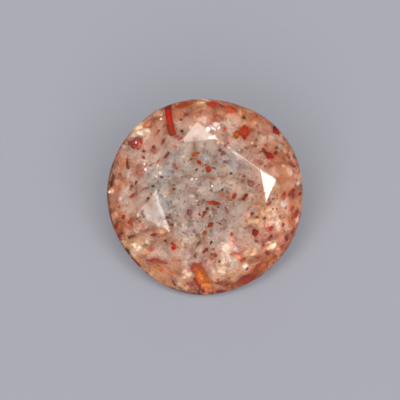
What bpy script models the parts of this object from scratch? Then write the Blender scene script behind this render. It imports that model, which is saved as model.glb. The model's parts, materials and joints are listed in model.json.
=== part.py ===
# A round sunstone, cut by hand as a brilliant and lying on one facet of its pavilion.
# Every facet is a plane ground off a round blank, in the order in which a gem cutter works.
# Metres, +Z up. The stone is cut with its table level, then laid down on the facet that carries it.

import math

import bmesh
import bpy
from mathutils import Matrix, Vector
from mathutils.geometry import intersect_line_plane, intersect_plane_plane

# Driving dimensions
GIRDLE_DIAMETER = 0.0075
CROWN_HEIGHT = 0.00102
GIRDLE_HEIGHT = 0.00030
PAVILION_SLOPE = math.radians(37.0)
# Where two lower halves meet between two pavilion mains, as a share of the radius: the halves are
# short, so the mains stay broad and the stone lies steadily on one of them
LOWER_HALF_MEETS_AT = 0.70
CULET_WIDTH = 0.00016

# Hand cutting leaves the table's corners uneven: each one's direction in degrees, turning
# anticlockwise from +X as seen from above, and its distance from the axis as a share of the radius
TABLE_CORNERS = (
    (-4.8, 0.627),
    (25.6, 0.619),
    (78.7, 0.598),
    (113.0, 0.610),
    (175.1, 0.510),
    (222.3, 0.508),
    (267.0, 0.560),
    (312.0, 0.612),
)
# The direction that each crown main faces, one behind each corner of the table
CROWN_MAIN_DIRECTIONS = (-6.5, 37.0, 74.0, 115.5, 172.5, 218.0, 262.0, 306.0)
# The slope of each star in degrees, from that corner of the table to the next: steeper ones reach
# further out
STAR_SLOPES = (20.0, 18.5, 22.0, 18.5, 19.0, 18.5, 18.5, 18.5)
# The pavilion was indexed apart from the crown, so its mains stand a few degrees off the crown's
PAVILION_MAINS = 8
RESTING_MAIN_DIRECTION = 270.0

# The blank is a little out of round: height of each wave as a share of the radius, how many
# times it goes round, and the direction of its first crest in degrees
GIRDLE_WAVES = ((0.007, 1, 60.0), (0.009, 3, 30.0), (0.005, 5, 40.0))
GIRDLE_SIDES = 96
ON_PLANE = 2e-7  # a corner this near a grinding plane counts as lying on it

RADIUS = GIRDLE_DIAMETER / 2
PAVILION_DEPTH = RADIUS * math.tan(PAVILION_SLOPE)
BODY_COLOUR = (0.62, 0.33, 0.22, 1.0)


def girdle_point(direction, height):
    """The point on the girdle's wall in this direction, in radians, at this height."""
    waves = sum(
        size * math.cos(count * (direction - math.radians(crest)))
        for size, count, crest in GIRDLE_WAVES
    )
    reach = RADIUS * (1 + waves)
    return Vector((reach * math.cos(direction), reach * math.sin(direction), height))


def plane_through(a, b, c):
    """(point, outward normal) of the plane through three points of a facet."""
    normal = (b - a).cross(c - a).normalized()
    middle = Vector((0.0, 0.0, -GIRDLE_HEIGHT / 2))
    return a, -normal if normal.dot(a - middle) < 0 else normal


def meeting_point(first, second, third):
    """The corner where three facet planes meet."""
    start, along = intersect_plane_plane(*first, *second)
    return intersect_line_plane(start, start + along, *third)


def middle_direction(before, after):
    """The direction half way from one facet to the next, going anticlockwise."""
    return before + ((after - before) % math.tau) / 2


def round_blank():
    """The rough stone turned to a round, slightly uneven disc."""
    blank = bmesh.new()
    height = CROWN_HEIGHT + GIRDLE_HEIGHT + PAVILION_DEPTH
    bmesh.ops.create_cone(
        blank,
        cap_ends=True,
        segments=GIRDLE_SIDES,
        radius1=RADIUS,
        radius2=RADIUS,
        depth=height,
        matrix=Matrix.Translation((0, 0, CROWN_HEIGHT - height / 2)),
    )
    for corner in blank.verts:
        corner.co = girdle_point(math.atan2(corner.co.y, corner.co.x), corner.co.z)
    return blank


def grind(stone, plane):
    """Takes off everything outside the plane and closes the cut with one flat facet."""
    point, normal = plane
    everything = stone.verts[:] + stone.edges[:] + stone.faces[:]
    bmesh.ops.bisect_plane(
        stone,
        geom=everything,
        dist=ON_PLANE,
        plane_co=point,
        plane_no=normal,
        clear_outer=True,
    )
    rim = [edge for edge in stone.edges if edge.is_boundary]
    if rim:
        bmesh.ops.edgeloop_fill(stone, edges=rim)


def crown_main_plane(corner, direction):
    """A kite facet: it faces its own direction, from the girdle's top edge up to a table corner."""
    low = girdle_point(direction, 0.0)
    level = Vector((-math.sin(direction), math.cos(direction), 0.0))
    return plane_through(low, low + level * RADIUS, corner)


def star_plane(corner, next_corner, slope):
    """A star facet: it falls away from one edge of the table."""
    edge = (next_corner - corner).normalized()
    outward = edge.cross(Vector((0.0, 0.0, 1.0)))
    fall = outward * math.cos(slope) - Vector((0.0, 0.0, math.sin(slope)))
    return plane_through(corner, next_corner, corner + fall * RADIUS)


def crown_planes():
    """Table, mains, stars and upper halves."""
    corners = [
        Vector((reach * RADIUS, 0.0, CROWN_HEIGHT)) for _, reach in TABLE_CORNERS
    ]
    for corner, (direction, _) in zip(corners, TABLE_CORNERS):
        corner.rotate(Matrix.Rotation(math.radians(direction), 3, "Z"))
    facing = [math.radians(direction) for direction in CROWN_MAIN_DIRECTIONS]
    mains = [crown_main_plane(*pair) for pair in zip(corners, facing)]
    count = len(corners)
    stars = [
        star_plane(corners[i], corners[(i + 1) % count], math.radians(STAR_SLOPES[i]))
        for i in range(count)
    ]
    planes = [(Vector((0.0, 0.0, CROWN_HEIGHT)), Vector((0.0, 0.0, 1.0)))]
    planes += mains + stars
    for i in range(count):
        following = (i + 1) % count
        tip = meeting_point(mains[i], mains[following], stars[i])
        between = girdle_point(middle_direction(facing[i], facing[following]), 0.0)
        for direction in (facing[i], facing[following]):
            planes.append(plane_through(tip, girdle_point(direction, 0.0), between))
    return planes


def pavilion_planes():
    """Eight mains to the culet, and two lower halves between each pair of them."""
    step = math.tau / PAVILION_MAINS
    first = math.radians(RESTING_MAIN_DIRECTION)
    meet_reach = RADIUS * LOWER_HALF_MEETS_AT
    meet_depth = PAVILION_DEPTH * (1 - LOWER_HALF_MEETS_AT * math.cos(step / 2))
    mains, halves = [], []
    for i in range(PAVILION_MAINS):
        direction = first + i * step
        outward = Vector((math.cos(direction), math.sin(direction), 0.0))
        level = Vector((-math.sin(direction), math.cos(direction), 0.0))
        top = outward * RADIUS + Vector((0.0, 0.0, -GIRDLE_HEIGHT))
        tip = Vector((0.0, 0.0, -GIRDLE_HEIGHT - PAVILION_DEPTH))
        mains.append(plane_through(top, top + level * RADIUS, tip))
        ridge = direction + step / 2
        meet = Vector((math.cos(ridge), math.sin(ridge), 0.0)) * meet_reach
        meet.z = -GIRDLE_HEIGHT - meet_depth
        between = girdle_point(ridge, -GIRDLE_HEIGHT)
        for beside in (direction, direction + step):
            halves.append(
                plane_through(meet, girdle_point(beside, -GIRDLE_HEIGHT), between)
            )
    culet_rise = CULET_WIDTH / 2 * math.tan(PAVILION_SLOPE)
    culet = Vector((0.0, 0.0, culet_rise - GIRDLE_HEIGHT - PAVILION_DEPTH))
    return mains + halves + [(culet, Vector((0.0, 0.0, -1.0)))]


def lay_down(stone):
    """Turns the stone onto its resting main, and centres it on the floor at the origin."""
    bmesh.ops.rotate(
        stone, verts=stone.verts, matrix=Matrix.Rotation(PAVILION_SLOPE, 3, "X")
    )
    places = [corner.co for corner in stone.verts]
    low = Vector(min(place[axis] for place in places) for axis in range(3))
    high = Vector(max(place[axis] for place in places) for axis in range(3))
    middle = (low + high) / 2
    bmesh.ops.translate(
        stone, verts=stone.verts, vec=(-middle.x, -middle.y, -low.z)
    )


def stone_material():
    material = bpy.data.materials.new("feldspar")
    material.use_nodes = True
    shader = material.node_tree.nodes["Principled BSDF"]
    shader.inputs["Base Color"].default_value = BODY_COLOUR
    shader.inputs["Roughness"].default_value = 0.06
    shader.inputs["Metallic"].default_value = 0.0
    shader.inputs["IOR"].default_value = 1.54
    return material


def cut_stone():
    stone = round_blank()
    for plane in crown_planes() + pavilion_planes():
        grind(stone, plane)
    lay_down(stone)
    bmesh.ops.recalc_face_normals(stone, faces=stone.faces)
    mesh = bpy.data.meshes.new("sunstone")
    stone.to_mesh(mesh)
    stone.free()
    mesh.materials.append(stone_material())
    return bpy.data.objects.new("sunstone", mesh)


def main():
    for old in list(bpy.data.objects):
        bpy.data.objects.remove(old)
    collection = bpy.data.collections.new("sunstone")
    bpy.context.scene.collection.children.link(collection)
    collection.objects.link(cut_stone())


main()
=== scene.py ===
import json
import math
import random

import bmesh
import bpy
from mathutils import Matrix, Vector, noise
from mathutils.bvhtree import BVHTree


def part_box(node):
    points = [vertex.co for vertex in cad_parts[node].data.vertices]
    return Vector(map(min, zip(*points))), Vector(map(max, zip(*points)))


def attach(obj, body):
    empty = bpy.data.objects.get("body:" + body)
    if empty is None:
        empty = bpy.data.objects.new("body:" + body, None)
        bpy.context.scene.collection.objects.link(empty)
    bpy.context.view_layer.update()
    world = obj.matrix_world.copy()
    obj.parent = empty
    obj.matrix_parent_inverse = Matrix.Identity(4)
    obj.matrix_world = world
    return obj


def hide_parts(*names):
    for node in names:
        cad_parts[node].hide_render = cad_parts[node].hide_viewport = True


# A cut sunstone seen through its table: a clear crystal, the copper that is sealed in it, and a studio

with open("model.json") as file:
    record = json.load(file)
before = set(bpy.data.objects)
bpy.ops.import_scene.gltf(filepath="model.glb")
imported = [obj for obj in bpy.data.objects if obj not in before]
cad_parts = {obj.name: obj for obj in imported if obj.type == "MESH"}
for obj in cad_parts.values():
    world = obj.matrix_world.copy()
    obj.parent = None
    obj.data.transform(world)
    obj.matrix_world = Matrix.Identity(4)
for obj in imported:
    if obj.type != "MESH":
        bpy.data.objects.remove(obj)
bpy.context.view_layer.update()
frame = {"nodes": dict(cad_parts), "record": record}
mm = 0.001
random.seed(7)

# The stone's own directions, as the photograph shows it: across, up and out of the table
tableMount = next(m for m in frame["record"]["mounts"] if m["name"] == "table")
tableCentre = Vector(tableMount["pos_m"])
outOfTable = Vector(tableMount["axis"]).normalized()
across = Vector((1, 0, 0))
upTable = outOfTable.cross(across)
stoneTurn = Matrix((across, upTable, outOfTable)).transposed()
culetLevel = 0.002 * mm  # corners this near to the lowest one are the culet's


def findAxis():
    # the culet is the stone's lowest point below the table, and lies on the stone's axis
    corners = [v.co for v in frame["nodes"]["sunstone"].data.vertices]
    depths = [(c - tableCentre).dot(outOfTable) for c in corners]
    deepest = min(depths)
    tip = [c for c, d in zip(corners, depths) if d < deepest + culetLevel]
    middle = sum(tip, Vector()) / len(tip)
    return middle - outOfTable * deepest


axisTop = findAxis()  # where the axis meets the plane of the table


# Small helpers

def toLinear(hexColour):
    parts = [int(hexColour[i:i + 2], 16) / 255 for i in (1, 3, 5)]
    parts = [p / 12.92 if p <= 0.04045 else ((p + 0.055) / 1.055) ** 2.4 for p in parts]
    return (*parts, 1.0)


def addNode(tree, kind, settings=None, links=None):
    node = tree.nodes.new(kind)
    for name, value in (settings or {}).items():
        if isinstance(name, str) and hasattr(node, name):
            setattr(node, name, value)
        else:
            node.inputs[name].default_value = value
    for name, source in (links or {}).items():
        tree.links.new(source, node.inputs[name])
    return node


def newMaterial(name):
    material = bpy.data.materials.new(name)
    material.use_nodes = True
    material.node_tree.nodes.clear()
    return material, material.node_tree


def finishPiece(shape, name, materials):
    mesh = bpy.data.meshes.new(name)
    shape.to_mesh(mesh)
    shape.free()
    for material in materials:
        mesh.materials.append(material)
    piece = bpy.data.objects.new(name, mesh)
    bpy.context.scene.collection.objects.link(piece)
    return piece


# Camera: straight above the table, far off, with a long lens

camera = {
    "distance": 150 * mm,
    "girdleWidth": 7.5 * mm,
    "girdlePixels": 197.0,      # the same width in the 400 pixel picture
    "stoneAt": (205.0, 196.3),  # the pixel where the stone's axis shows
    "framePixels": 400.0,
    "sensor": 36.0,
    "nearest": 1 * mm,
    "farthest": 10,
}
pixelSize = camera["girdleWidth"] / camera["girdlePixels"]


def setCamera():
    data = bpy.data.cameras.new("camera")
    data.sensor_width = camera["sensor"]
    data.lens = camera["sensor"] * camera["distance"] / (pixelSize * camera["framePixels"])
    data.clip_start = camera["nearest"]
    data.clip_end = camera["farthest"]
    seat = bpy.data.objects.new("camera", data)
    bpy.context.scene.collection.objects.link(seat)
    half = camera["framePixels"] / 2
    sideways = (half - camera["stoneAt"][0]) * pixelSize
    upwards = (camera["stoneAt"][1] - half) * pixelSize
    place = axisTop + across * sideways + upTable * upwards + outOfTable * camera["distance"]
    seat.matrix_world = Matrix.Translation(place) @ stoneTurn.to_4x4()
    bpy.context.scene.camera = seat
    return place


eye = setCamera()
print("camera set")


# Studio: a pale back-lit sheet, an even room and a few lamps

studio = {
    # brightness round the line of sight, from the camera's own dark shape outwards: the degrees off
    # that line between which each step fades in, and its brightness
    "roomSteps": (
        (None, 0.1),
        ((7, 10), 6.1),    # a ring of light round the lens
        ((31, 35), 0.23),  # dark walls, mirrored by the crown's facets
        ((80, 100), 0.62),
    ),
    "sheetColour": "#7C7C83",
    "sheetRoughness": 0.8,
    "sheetGlowColour": "#F4F4FF",
    "sheetGlow": 0.07,
    "sheetSize": 0.6,
    "sheetGap": 0.04 * mm,  # air under the resting facet, so that light reaches the sheet there
    "lampDistance": 0.3,
    "lampHalfAngle": 3,     # degrees
    # each lamp stands where the facet or worn edge under one pixel of the picture mirrors it: that
    # pixel, and the lamp's brightness
    "lamps": {
        "starTop": ((198, 132), 5.6),
        "starRight": ((268, 181), 17.0),
        "starLeft": ((152, 211), 2.9),
        "edgeLeft": ((161, 210), 14.0),
    },
}


def makeSheet():
    # milk glass on a light table: even, with no pattern, and a weak light of its own
    shape = bmesh.new()
    bmesh.ops.create_grid(shape, x_segments=1, y_segments=1, size=studio["sheetSize"])
    bmesh.ops.translate(shape, verts=shape.verts, vec=(0, 0, -studio["sheetGap"]))
    material, tree = newMaterial("milkGlass")
    shader = addNode(tree, "ShaderNodeBsdfPrincipled", {
        "Base Color": toLinear(studio["sheetColour"]),
        "Roughness": studio["sheetRoughness"],
        "Emission Color": toLinear(studio["sheetGlowColour"]),
        "Emission Strength": studio["sheetGlow"],
    })
    addNode(tree, "ShaderNodeOutputMaterial", links={"Surface": shader.outputs[0]})
    finishPiece(shape, "lightTable", [material])


def makeRoom():
    # brightness by the angle off the line of sight, so that no broad facet mirrors the bright ring
    world = bpy.data.worlds.new("room")
    bpy.context.scene.world = world
    world.use_nodes = True
    tree = world.node_tree
    tree.nodes.clear()
    way = addNode(tree, "ShaderNodeTexCoord")
    sight = addNode(tree, "ShaderNodeVectorMath", {"operation": "DOT_PRODUCT", 1: outOfTable},
                    {0: way.outputs["Generated"]})
    bright = None
    steps = studio["roomSteps"]
    for (_, before), (angles, after) in zip(steps, steps[1:]):
        ends = [math.cos(math.radians(a)) for a in angles]
        fade = addNode(tree, "ShaderNodeMapRange", {
            "interpolation_type": "SMOOTHSTEP", "From Min": ends[0], "From Max": ends[1],
            "To Max": after - before,
        }, {"Value": sight.outputs["Value"]})
        total = addNode(tree, "ShaderNodeMath", {"operation": "ADD", 1: before}, {0: fade.outputs[0]})
        if bright:
            tree.links.new(bright.outputs[0], total.inputs[1])
        bright = total
    walls = addNode(tree, "ShaderNodeBackground", {"Color": (1, 1, 1, 1)},
                    {"Strength": bright.outputs[0]})
    addNode(tree, "ShaderNodeOutputWorld", links={"Surface": walls.outputs[0]})


makeSheet()
makeRoom()
print("room set")


# Crystal: clear feldspar, its facets polished by hand and its girdle left ground

crystal = {
    "refraction": 1.56,       # labradorite
    "tint": "#F9DCC6",
    "tintDensity": 200.0,
    # each surface: how rough it is, and how deep the marks of its grinding are
    "surfaces": {
        "polished": (0.09, 0.0012 * mm),
        "ground": (0.45, 0.02 * mm),
        "worn": (0.22, 0.003 * mm),
    },
    "markSize": 0.16 * mm,
    "wear": 0.010 * mm,       # width of a worn facet junction
    "tableWear": (            # the table's edges are worn unevenly: a pixel near each, and its width
        ((161, 210), 0.06 * mm),
        ((194, 140), 0.03 * mm),
        ((241, 160), 0.022 * mm),
    ),
    "leastAngle": 1.5,        # degrees between two facets, under which their junction stays sharp
    "sameCorner": 0.0005 * mm,
    "sameFacet": 0.5,         # degrees
    "girdleLean": 0.15,       # sine of how far a face of the girdle may lean off the stone's axis
}
ground, worn = 1, 2  # where these surfaces stand in the crystal's list of materials


def mergedStone():
    shape = bmesh.new()
    shape.from_mesh(frame["nodes"]["sunstone"].data)
    bmesh.ops.remove_doubles(shape, verts=shape.verts, dist=crystal["sameCorner"])
    bmesh.ops.dissolve_limit(
        shape, angle_limit=math.radians(crystal["sameFacet"]), verts=shape.verts, edges=shape.edges
    )
    for face in shape.faces:
        face.smooth = False  # every facet was ground flat
    return shape


sharpStone = mergedStone()
facets = [(f.calc_center_median(), f.normal.copy()) for f in sharpStone.faces]
surface = BVHTree.FromBMesh(sharpStone)
sharpStone.free()


def sightLine(at):
    # from the camera through a pixel of the picture
    half = camera["framePixels"] / 2
    look = Vector(((at[0] - half) * pixelSize, (half - at[1]) * pixelSize, -camera["distance"]))
    return (stoneTurn @ look).normalized()


def onTable(at):
    ray = sightLine(at)
    return eye + ray * ((axisTop - eye).dot(outOfTable) / ray.dot(outOfTable))


def feldspar(name, roughness, marks):
    # clear feldspar, cut on a lap. A polished facet is a mirror with faint marks of the hand polishing.
    # The girdle is left as the fine grit ground it, so it looks frosted. A worn junction is rubbed but
    # still shiny, so it draws a thin light line.
    material, tree = newMaterial(name + "Feldspar")
    place = addNode(tree, "ShaderNodeTexCoord")
    grain = addNode(tree, "ShaderNodeTexNoise", {"Scale": 1 / crystal["markSize"], "Detail": 3.0},
                    {"Vector": place.outputs["Object"]})
    bump = addNode(tree, "ShaderNodeBump", {"Strength": 1.0, "Distance": marks},
                   {"Height": grain.outputs[0]})
    glass = addNode(tree, "ShaderNodeBsdfPrincipled", {
        "Base Color": (1, 1, 1, 1),
        "Roughness": roughness,
        "IOR": crystal["refraction"],
        "Transmission Weight": 1.0,
    }, {"Normal": bump.outputs[0]})
    tint = addNode(tree, "ShaderNodeVolumeAbsorption", {
        "Color": toLinear(crystal["tint"]),
        "Density": crystal["tintDensity"],
    })
    addNode(tree, "ShaderNodeOutputMaterial",
            links={"Surface": glass.outputs[0], "Volume": tint.outputs[0]})
    return material


def wearEdges(shape, edges, width):
    made = bmesh.ops.bevel(
        shape, geom=edges, offset=width, offset_type="OFFSET", affect="EDGES",
        segments=1, profile=0.5, material=-1, clamp_overlap=True,
    )
    for face in made["faces"]:
        face.material_index = worn


def isTableEdge(edge):
    flat = math.radians(crystal["sameFacet"])
    return any(f.normal.angle(outOfTable) < flat for f in edge.link_faces)


def isWorn(edge):
    return any(f.material_index == worn for f in edge.link_faces)


def makeCrystal():
    shape = mergedStone()
    for face in shape.faces:
        if abs(face.normal.dot(outOfTable)) < crystal["girdleLean"]:
            face.material_index = ground
    for at, width in crystal["tableWear"]:
        near = onTable(at)
        tableEdge = min(
            (e for e in shape.edges if isTableEdge(e) and not isWorn(e)),
            key=lambda e: ((e.verts[0].co + e.verts[1].co) / 2 - near).length,
        )
        wearEdges(shape, [tableEdge], width)
    least = math.radians(crystal["leastAngle"])
    junctions = [
        e for e in shape.edges
        if e.calc_face_angle(0) > least
        and not isWorn(e)
        and not all(f.material_index == ground for f in e.link_faces)
    ]
    wearEdges(shape, junctions, crystal["wear"])
    for face in shape.faces:
        face.smooth = False
    bmesh.ops.recalc_face_normals(shape, faces=shape.faces)
    print("worn faces", sum(f.material_index == worn for f in shape.faces), "of", len(shape.faces))
    materials = [feldspar(name, *look) for name, look in crystal["surfaces"].items()]
    piece = finishPiece(shape, "crystal", materials)
    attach(piece, "root")
    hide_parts("sunstone")
    return piece


crystalPiece = makeCrystal()
print("crystal cut, facets", len(facets))


def makeLamps():
    mirror = BVHTree.FromObject(crystalPiece, bpy.context.evaluated_depsgraph_get())
    size = 2 * studio["lampDistance"] * math.tan(math.radians(studio["lampHalfAngle"]))
    for name, (mirroredAt, radiance) in studio["lamps"].items():
        ray = sightLine(mirroredAt)
        spot, normal, _, _ = mirror.ray_cast(eye, ray)
        way = ray.reflect(normal)
        data = bpy.data.lights.new(name, "AREA")
        data.shape = "DISK"
        data.size = size
        data.energy = radiance * math.pi * math.pi * size * size / 4
        item = bpy.data.objects.new(name, data)
        bpy.context.scene.collection.objects.link(item)
        item.location = spot + way * studio["lampDistance"]
        item.rotation_euler = way.to_track_quat("Z", "Y").to_euler()
        item.visible_transmission = False  # seen through the stone it would only make noise
        print("lamp", name, round(math.degrees(way.angle(outOfTable)), 1), "degrees off")


makeLamps()


# Places inside the crystal

sealing = {
    "pullIn": 0.01,           # a pixel just off the stone moves in by this share of the way to its middle
    "justUnder": 0.001 * mm,
    "deepest": 0.75,          # nothing lies deeper than this share of the way through the stone
    "skin": 0.02 * mm,        # clear feldspar left over what lies nearest to a facet
}


def refracted(ray, normal, ratio):
    into = -ray.dot(normal)
    rest = 1 - ratio * ratio * (1 - into * into)
    return (ray * ratio + normal * (ratio * into - math.sqrt(rest))).normalized()


def placeUnder(at, depth):
    # what the camera sees at this pixel, this deep in the crystal along its bent line of sight
    spot = None
    seen = Vector(at)
    while spot is None:
        ray = sightLine(seen)
        spot, normal, _, _ = surface.ray_cast(eye, ray)
        seen = seen.lerp(Vector(camera["stoneAt"]), sealing["pullIn"])
    inside = refracted(ray, normal, 1 / crystal["refraction"])
    _, _, _, room = surface.ray_cast(spot + inside * sealing["justUnder"], inside)
    return spot + inside * min(depth * mm, room * sealing["deepest"]), inside, normal


def layFlat(at, depth, turn=0.0, flush=False):
    # where a flat thing lies that shows at this pixel: its middle, the way through it and its two
    # directions. It is square to the line of sight, or flush with the facet over it
    middle, inside, out = placeUnder(at, depth)
    facing = -out if flush else inside
    up = (upTable - facing * upTable.dot(facing)).normalized()
    turned = Matrix.Rotation(math.radians(turn), 3, -facing)
    return middle, facing, turned @ facing.cross(up), turned @ up


def depthOf(point):
    spot, normal, _, gap = surface.find_nearest(point)
    return gap if (point - spot).dot(normal) < 0 else -gap


# Places that nothing strewn at random covers: a pixel and how many pixels round it
keptClear = (
    ((140, 128), 9), ((146, 122), 4), ((136, 144), 8), ((200, 135), 10), ((191, 139), 6), ((209, 138), 6),
    ((268, 182), 9), ((155, 210), 9), ((245, 132), 9), ((187, 273), 6), ((227, 250), 6), ((222, 268), 6),
    ((200, 272), 9), ((205, 284), 8), ((171, 121), 6), ((137, 246), 5), ((271, 245), 5), ((187, 131), 8),
    ((240, 208), 5), ((196, 124), 5), ((172, 186), 5), ((269, 154), 6), ((154, 260), 5), ((162, 262), 5),
    ((290, 171), 6), ((283, 204), 5), ((250, 276), 5), ((168, 147), 6),
)


def isKeptClear(at):
    return any(math.dist(at, middle) < reach for middle, reach in keptClear)


def pixelOf(point):
    # where a point shows, near enough: its line of sight is taken as straight
    away = point - axisTop
    return (
        camera["stoneAt"][0] + away.dot(across) / pixelSize,
        camera["stoneAt"][1] - away.dot(upTable) / pixelSize,
    )


def placeAnywhere(least, under):
    # somewhere in the crystal, at least this far inside its facets, and between these two depths below
    # what lies above it, seen from above the table
    low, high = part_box("sunstone")
    while True:
        point = Vector(random.uniform(a, b) for a, b in zip(low, high))
        if depthOf(point) < least or isKeptClear(pixelOf(point)):
            continue
        if under[0] < surface.ray_cast(point, outOfTable)[3] < under[1]:
            return point


def cutToStone(shape, inset=sealing["skin"], crownInset=None):
    # takes off what would stand out of the stone, or lie nearer to its surface than this
    middle = sum((v.co for v in shape.verts), Vector()) / len(shape.verts)
    reach = max((v.co - middle).length for v in shape.verts)
    for point, out in facets:
        isCrown = out.dot(outOfTable) > crystal["girdleLean"]
        skin = crownInset if crownInset and isCrown else inset
        if (middle - point).dot(out) < -skin - reach:
            continue
        everything = shape.verts[:] + shape.edges[:] + shape.faces[:]
        bmesh.ops.bisect_plane(
            shape, geom=everything, plane_co=point - out * skin, plane_no=out, clear_outer=True
        )


scrap = bpy.data.meshes.new("scrap")  # carries small meshes into bigger ones, and is removed at the end


def pour(small, whole):
    # moves a small mesh into a bigger one; small ones first, because each pour goes over all of whole
    small.to_mesh(scrap)
    small.free()
    whole.from_mesh(scrap)


# Colours of what is sealed in: native copper in platelets too thin to be opaque runs from orange to
# dark red, stacks of them are brown to black, and healed cracks are white to pink. The cream, peach,
# salmon and pearl tones also serve as painted flashes and glints of light on some veils and patches

tones = {
    "ember": "#FA3A0A",
    "scarlet": "#DC2208",
    "blood": "#92180C",
    "black": "#30140C",
    "rust": "#C0340C",
    "copper": "#CA5424",
    "brick": "#E05224",
    "brown": "#8A3E18",
    "umber": "#684228",
    "plum": "#8C444C",
    "rose": "#E06C62",
    "tan": "#E2AC74",
    "amber": "#DE7418",
    "bronze": "#BE6430",
    "orange": "#FC8C14",
    "flame": "#FF9038",
    "salmon": "#FF9E74",
    "peach": "#FFCFA0",
    "cream": "#FFE8CC",
    "pearl": "#FFF6F0",
    "pink": "#FCC4BA",
    "ash": "#A8A29A",
    "mist": "#A2A6A8",
    "olive": "#80724C",
}


def toneOf(names, along=0.0):
    # one tone, or several that follow each other along a platelet, from 0 to 1
    stops = [Vector(toLinear(tones[name])) for name in names.split()]
    if len(stops) == 1:
        return stops[0]
    place = min(max(along, 0.0), 1.0) * (len(stops) - 1)
    before = min(int(place), len(stops) - 2)
    return stops[before].lerp(stops[before + 1], place - before)


# Platelets of native copper: thin, flat and closed

platelet = {
    # each outline's number of sides, and how uneven its corners are. A bar is a grid, so that it can bend
    "outlines": {
        "bar": (None, 0.08),
        "hexagon": (6, 0.1),
        "rhomb": (4, 0.12),
        "lens": (8, 0.12),
        "ragged": (8, 0.3),
    },
    "lensTaper": 0.5,
    "thickness": 0.12,         # as a share of the shorter side
    "inner": 0.5,              # how far out the middle reaches, where more light comes through
    "innerAlongBar": 0.9,
    # the next two paint each platelet's middle lighter and its rim darker: painted glow of light coming
    # through the thin middle
    "innerPaintedGlow": 1.2,
    "rimPaintedShade": 0.72,
    "shadeRange": (0.7, 1.15),
    "anyDepth": (0.1, 0.5),    # millimetres, where a row gives no depth
}


def addPlate(whole, middle, right, up, size, outline, tone, shade=1.0, uneven=None, bend=0.0):
    # one platelet: right and up span its plane, size is its length and width
    sides, ownUneven = platelet["outlines"][outline]
    uneven = uneven or ownUneven
    shape = bmesh.new()
    if outline == "bar":
        bmesh.ops.create_grid(shape, x_segments=6, y_segments=2, size=1)
    else:
        bmesh.ops.create_circle(shape, cap_ends=True, cap_tris=True, segments=sides, radius=1)
    layer = shape.verts.layers.float_color.new("tone")
    for corner in shape.verts:
        x, y = corner.co.x, corner.co.y
        if outline == "bar":
            isInner = abs(y) < platelet["inner"] and abs(x) < platelet["innerAlongBar"]
        else:
            isInner = math.hypot(x, y) < platelet["inner"]
        # painted light: the middle is painted lighter and the rim darker, as if more light came through
        # the middle; the random share is the copper's own uneven tone
        light = shade * random.uniform(*platelet["shadeRange"])
        light *= platelet["innerPaintedGlow"] if isInner else platelet["rimPaintedShade"]
        corner[layer] = toneOf(tone, (x + 1) / 2) * light
        if outline == "lens":
            y *= 1 - platelet["lensTaper"] * abs(x)
        x *= 1 + random.uniform(-uneven, uneven)
        y *= 1 + random.uniform(-uneven, uneven)
        y += bend * (1 - x * x)
        corner.co = middle + right * (x * size[0] / 2) + up * (y * size[1] / 2)
    made = bmesh.ops.extrude_face_region(shape, geom=shape.faces[:])
    lifted = [v for v in made["geom"] if isinstance(v, bmesh.types.BMVert)]
    thick = min(size) * platelet["thickness"]
    bmesh.ops.translate(shape, verts=lifted, vec=right.cross(up).normalized() * thick)
    cutToStone(shape)
    cutEdges = [e for e in shape.edges if e.is_boundary]
    if cutEdges:
        bmesh.ops.holes_fill(shape, edges=cutEdges)
    bmesh.ops.recalc_face_normals(shape, faces=shape.faces)
    pour(shape, whole)


def seenPlate(whole, at, size, turn, tone, depth, outline="ragged", bend=0.0, lean=0.5, flush=False):
    # a platelet that shows at this pixel with this size and turn, leaning away at random
    middle, inside, right, up = layFlat(at, depth, turn, flush)
    lean = 0.0 if flush else lean
    right += inside * random.uniform(-lean, lean)
    up += inside * random.uniform(-lean, lean)
    addPlate(whole, middle, right, up, (size[0] * mm, size[1] * mm), outline, tone, bend=bend)


def plate(x, y, length, width, turn, tone, depth=None, **more):
    return {"at": (x, y), "size": (length, width), "turn": turn, "tone": tone, "depth": depth, **more}


# Copper platelets that stand out in the photograph, each by the pixel at its middle, its length and
# width in millimetres, its turn in degrees, anticlockwise, its tone and its depth in millimetres

platesUpperLeft = (
    plate(170.6, 121, 1.36, 0.25, -71.5, "blood scarlet scarlet ember rust rust copper", 0.1,
          outline="bar", bend=-0.35, flush=True),
    plate(147.5, 124, 0.38, 0.28, 25, "brick flame", 0.12, flush=True),
    plate(131.5, 142.5, 0.34, 0.24, 15, "blood scarlet", 0.26, lean=0.2),
    plate(140, 143.5, 0.26, 0.38, 20, "scarlet rust", 0.3, lean=0.2),
    plate(136, 147, 0.42, 0.26, -10, "blood scarlet", 0.28, lean=0.2),
    plate(136, 142.5, 0.3, 0.24, 30, "scarlet blood", 0.32, lean=0.2),
    plate(136.5, 138.5, 0.24, 0.12, 0, "umber brown", 0.24, lean=0.2),
    plate(143.5, 151, 0.14, 0.1, 40, "brown"),
    plate(144, 156, 0.16, 0.12, 70, "rust"),
    plate(118, 154, 0.3, 0.1, 70, "copper", outline="lens"),
    plate(127, 160, 0.24, 0.1, 85, "brick", outline="lens"),
    plate(167, 155, 0.28, 0.1, 55, "brown", 0.25, outline="bar"),
    plate(154, 147, 0.15, 0.13, 20, "plum"),
    plate(152, 119, 0.2, 0.12, 35, "brown"),
    plate(158, 132, 0.32, 0.08, 60, "copper", outline="lens"),
    plate(163, 142, 0.26, 0.08, 50, "brown", outline="lens"),
)
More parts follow.
